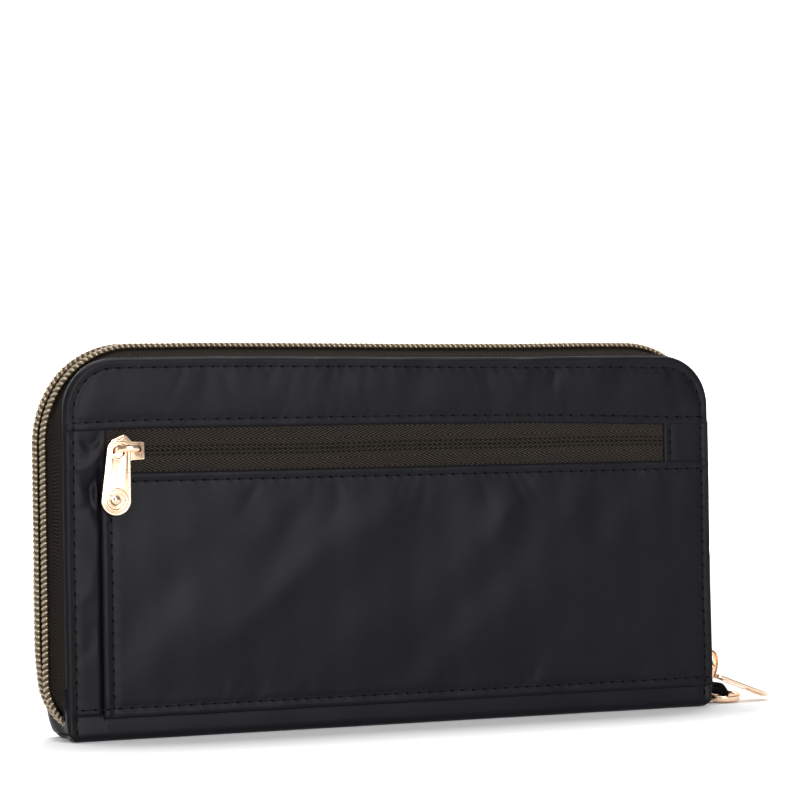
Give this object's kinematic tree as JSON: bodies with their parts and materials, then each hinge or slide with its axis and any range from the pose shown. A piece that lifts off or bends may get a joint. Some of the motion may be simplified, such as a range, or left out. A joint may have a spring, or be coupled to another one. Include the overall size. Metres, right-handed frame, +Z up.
{
  "type": "zip-around passport wallet",
  "caption": "Black nylon travel wallet with a zip round three sides, a zipped front pocket, hinged covers, inside pockets, metal pulls and a small ring.",
  "frame": {"origin": "middle of the underside of the spine, on the table that the closed wallet stands on", "axes": "+X along the wallet's width towards the ring, -Y out of the front cover with the zipped pocket, +Z up from the spine to the zip"},
  "size_m": [0.2517, 0.0278, 0.1196],
  "materials": {
    "shell_nylon": "satin twill nylon",
    "lining_nylon": "matte plain-weave lining",
    "zip_tape": "matte herringbone tape",
    "main_coil": "metallic coated coil",
    "pocket_coil": "dark nylon coil",
    "rose_gold": "polished pale rose gold plating",
    "board": "stiffening board"
  },
  "bodies": {
    "root": {"spine_panel": "shell_nylon", "spine_board": "board", "spine_lining": "lining_nylon", "zip_end_left": "zip_tape", "zip_end_right": "zip_tape", "ring_loop": "zip_tape"},
    "front_cover": {"front_base_panel": "shell_nylon", "front_board": "board", "front_lining": "lining_nylon", "upper_panel": "shell_nylon", "pocket_patch": "shell_nylon", "pocket_end_tab": "shell_nylon", "pocket_tape_upper": "zip_tape", "pocket_tape_lower": "zip_tape", "pocket_coil_upper": "pocket_coil", "pocket_coil_lower": "pocket_coil", "front_zip_tape": "zip_tape", "front_zip_coil": "main_coil", "card_tier_1": "lining_nylon", "card_tier_2": "lining_nylon", "card_tier_3": "lining_nylon"},
    "back_cover": {"back_panel": "shell_nylon", "back_board": "board", "back_lining": "lining_nylon", "back_zip_tape": "zip_tape", "back_zip_coil": "main_coil", "slip_pocket": "lining_nylon", "passport_pocket": "lining_nylon"},
    "main_slider": {"main_slider": "rose_gold"},
    "main_pull": {"main_pull": "rose_gold"},
    "pocket_slider": {"pocket_slider": "rose_gold"},
    "pocket_pull": {"pocket_pull": "rose_gold"},
    "key_ring": {"key_ring": "rose_gold"}
  },
  "joints": [
    {"name": "front_cover_hinge", "type": "hinge", "parent": "root", "child": "front_cover", "pos_m": [0, -0.009, 0.003], "axis": [1, 0, 0], "range_deg": [0, 90]},
    {"name": "back_cover_hinge", "type": "hinge", "parent": "root", "child": "back_cover", "pos_m": [0, 0.009, 0.003], "axis": [-1, 0, 0], "range_deg": [0, 90]},
    {"name": "main_slider_travel", "type": "slide", "parent": "front_cover", "child": "main_slider", "axis": [0, 0, 1], "range_m": [0, 0.072]},
    {"name": "main_pull_swing", "type": "hinge", "parent": "main_slider", "child": "main_pull", "pos_m": [0.1172, 0, 0.01045], "axis": [0, -1, 0], "range_deg": [0, 63]},
    {"name": "pocket_slider_travel", "type": "slide", "parent": "front_cover", "child": "pocket_slider", "axis": [1, 0, 0], "range_m": [0, 0.176]},
    {"name": "pocket_pull_swing", "type": "hinge", "parent": "pocket_slider", "child": "pocket_pull", "pos_m": [-0.09415, -0.0135, 0.0878], "axis": [0, -1, 0], "range_deg": [-88, 44]},
    {"name": "ring_swing", "type": "hinge", "parent": "root", "child": "key_ring", "pos_m": [0.1143, 0, 0.0023], "axis": [0, -1, 0], "range_deg": [-6, 8]}
  ]
}
